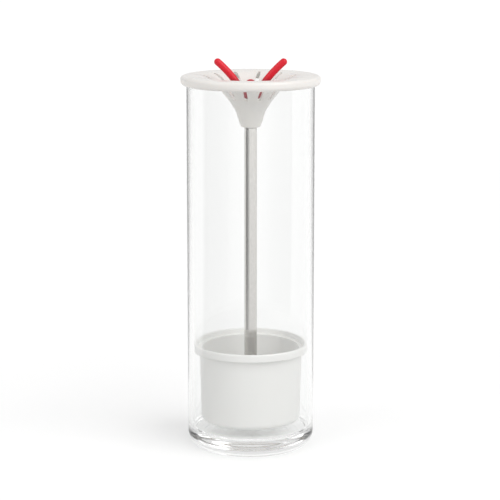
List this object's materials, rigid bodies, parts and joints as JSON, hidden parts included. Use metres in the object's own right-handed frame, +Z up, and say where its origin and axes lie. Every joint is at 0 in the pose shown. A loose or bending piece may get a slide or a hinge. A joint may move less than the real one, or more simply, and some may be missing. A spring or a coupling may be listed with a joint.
{
  "type": "herb keeper",
  "caption": "Tall glass jar with a slotted funnel lid. A rod from the lid carries a pot for herb stems, and a two-horned grip in the funnel lifts it all out.",
  "frame": {"origin": "centre of the circle that the jar stands on", "axes": "+Z up along the jar, -Y towards the front, +X to the right; the two horns of the grip lie in the XZ plane"},
  "size_m": [0.0872, 0.0872, 0.2471],
  "materials": {
    "clear_glass": "clear polished glass",
    "white_plastic": "gloss moulded",
    "pot_plastic": "satin moulded",
    "red_grip": "smooth soft-touch silicone",
    "bright_steel": "polished stainless steel",
    "fastener_steel": "bright stainless steel"
  },
  "bodies": {
    "jar": {"glass_jar": "clear_glass"},
    "lid": {"funnel_lid": "white_plastic"},
    "basket": {"horn_grip": "red_grip", "dome_nut": "fastener_steel", "carrier_rod": "bright_steel", "herb_pot": "pot_plastic", "pot_washer": "fastener_steel", "pot_screw": "fastener_steel"}
  },
  "joints": [
    {"name": "lid_lift", "type": "slide", "parent": "jar", "child": "lid", "axis": [0, 0, 1], "range_m": [0, 0.24]},
    {"name": "basket_turn", "type": "hinge", "parent": "lid", "child": "basket", "pos_m": [0, 0, 0.2085], "axis": [0, 0, 1], "continuous": true}
  ]
}
